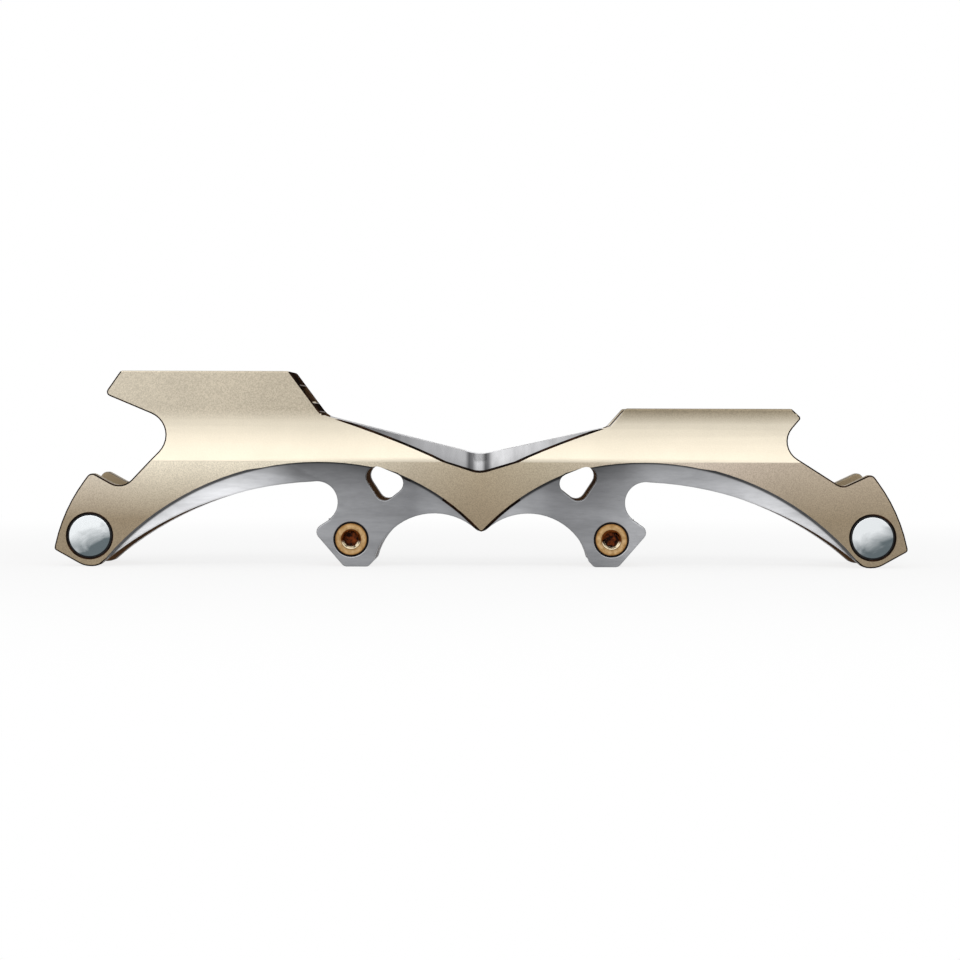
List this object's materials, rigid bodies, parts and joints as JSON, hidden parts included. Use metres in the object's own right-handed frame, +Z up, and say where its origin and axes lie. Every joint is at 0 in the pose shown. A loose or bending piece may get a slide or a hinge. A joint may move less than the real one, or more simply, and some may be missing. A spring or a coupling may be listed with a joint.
{
  "type": "inline skate frame",
  "caption": "Milled inline skate frame with a raised heel deck, arched side walls and removable two-piece wheel axles, bare of wheels.",
  "frame": {"origin": "middle of the bounding box's underside, where the frame stands on its axle tabs", "axes": "+X towards the toe, +Y towards the left-hand side, where the axle barrels' heads are, +Z up"},
  "size_m": [0.2516, 0.0348, 0.0578],
  "materials": {
    "chassis_anodised": "bead blasted and anodised in champagne, with bright milled faces",
    "chassis_milled": "bright milled faces of the arches and the valley",
    "axle_gold": "gold anodised",
    "washer_black": "black nylon",
    "cover_polished": "polished",
    "ring_rubber": "black rubber"
  },
  "bodies": {
    "chassis_body": {"chassis": "chassis_anodised"},
    "heel_barrel_body": {"heel_axle_barrel": "axle_gold", "heel_barrel_washer": "washer_black"},
    "heel_bolt_washer_body": {"heel_bolt_washer": "washer_black"},
    "heel_bolt_body": {"heel_axle_bolt": "axle_gold"},
    "heel_cover_right_body": {"heel_cover_right": "cover_polished", "heel_cover_ring_right": "ring_rubber"},
    "heel_cover_left_body": {"heel_cover_left": "cover_polished", "heel_cover_ring_left": "ring_rubber"},
    "rear_mid_barrel_body": {"rear_mid_axle_barrel": "axle_gold", "rear_mid_barrel_washer": "washer_black"},
    "rear_mid_bolt_washer_body": {"rear_mid_bolt_washer": "washer_black"},
    "rear_mid_bolt_body": {"rear_mid_axle_bolt": "axle_gold"},
    "front_mid_barrel_body": {"front_mid_axle_barrel": "axle_gold", "front_mid_barrel_washer": "washer_black"},
    "front_mid_bolt_washer_body": {"front_mid_bolt_washer": "washer_black"},
    "front_mid_bolt_body": {"front_mid_axle_bolt": "axle_gold"},
    "toe_barrel_body": {"toe_axle_barrel": "axle_gold", "toe_barrel_washer": "washer_black"},
    "toe_bolt_washer_body": {"toe_bolt_washer": "washer_black"},
    "toe_bolt_body": {"toe_axle_bolt": "axle_gold"},
    "toe_cover_right_body": {"toe_cover_right": "cover_polished", "toe_cover_ring_right": "ring_rubber"},
    "toe_cover_left_body": {"toe_cover_left": "cover_polished", "toe_cover_ring_left": "ring_rubber"}
  },
  "joints": [
    {"name": "heel_axle_pull", "type": "slide", "parent": "chassis_body", "child": "heel_barrel_body", "axis": [0, 1, 0], "range_m": [0, 0.06]},
    {"name": "heel_bolt_advance", "type": "slide", "parent": "chassis_body", "child": "heel_bolt_washer_body", "axis": [0, -1, 0], "range_m": [0, 0.0075]},
    {"name": "heel_bolt_turn", "type": "hinge", "parent": "heel_bolt_washer_body", "child": "heel_bolt_body", "pos_m": [-0.1155, -0.0144, 0.009], "axis": [0, -1, 0], "range_deg": [0, 2701]},
    {"name": "heel_cover_right_pull", "type": "slide", "parent": "heel_bolt_washer_body", "child": "heel_cover_right_body", "axis": [0, -1, 0], "range_m": [0, 0.012]},
    {"name": "heel_cover_left_pull", "type": "slide", "parent": "heel_barrel_body", "child": "heel_cover_left_body", "axis": [0, 1, 0], "range_m": [0, 0.012]},
    {"name": "rear_mid_axle_pull", "type": "slide", "parent": "chassis_body", "child": "rear_mid_barrel_body", "axis": [0, 1, 0], "range_m": [0, 0.06]},
    {"name": "rear_mid_bolt_advance", "type": "slide", "parent": "chassis_body", "child": "rear_mid_bolt_washer_body", "axis": [0, -1, 0], "range_m": [0, 0.0075]},
    {"name": "rear_mid_bolt_turn", "type": "hinge", "parent": "rear_mid_bolt_washer_body", "child": "rear_mid_bolt_body", "pos_m": [-0.0385, -0.0144, 0.0081], "axis": [0, -1, 0], "range_deg": [0, 2701]},
    {"name": "front_mid_axle_pull", "type": "slide", "parent": "chassis_body", "child": "front_mid_barrel_body", "axis": [0, 1, 0], "range_m": [0, 0.06]},
    {"name": "front_mid_bolt_advance", "type": "slide", "parent": "chassis_body", "child": "front_mid_bolt_washer_body", "axis": [0, -1, 0], "range_m": [0, 0.0075]},
    {"name": "front_mid_bolt_turn", "type": "hinge", "parent": "front_mid_bolt_washer_body", "child": "front_mid_bolt_body", "pos_m": [0.0385, -0.0144, 0.0081], "axis": [0, -1, 0], "range_deg": [0, 2701]},
    {"name": "toe_axle_pull", "type": "slide", "parent": "chassis_body", "child": "toe_barrel_body", "axis": [0, 1, 0], "range_m": [0, 0.06]},
    {"name": "toe_bolt_advance", "type": "slide", "parent": "chassis_body", "child": "toe_bolt_washer_body", "axis": [0, -1, 0], "range_m": [0, 0.0075]},
    {"name": "toe_bolt_turn", "type": "hinge", "parent": "toe_bolt_washer_body", "child": "toe_bolt_body", "pos_m": [0.1155, -0.0144, 0.009], "axis": [0, -1, 0], "range_deg": [0, 2701]},
    {"name": "toe_cover_right_pull", "type": "slide", "parent": "toe_bolt_washer_body", "child": "toe_cover_right_body", "axis": [0, -1, 0], "range_m": [0, 0.012]},
    {"name": "toe_cover_left_pull", "type": "slide", "parent": "toe_barrel_body", "child": "toe_cover_left_body", "axis": [0, 1, 0], "range_m": [0, 0.012]}
  ],
  "couplings": [
    {"joint": "heel_bolt_turn", "follows": "heel_bolt_advance", "rad_per_m": 6283.2},
    {"joint": "rear_mid_bolt_turn", "follows": "rear_mid_bolt_advance", "rad_per_m": 6283.2},
    {"joint": "front_mid_bolt_turn", "follows": "front_mid_bolt_advance", "rad_per_m": 6283.2},
    {"joint": "toe_bolt_turn", "follows": "toe_bolt_advance", "rad_per_m": 6283.2}
  ]
}
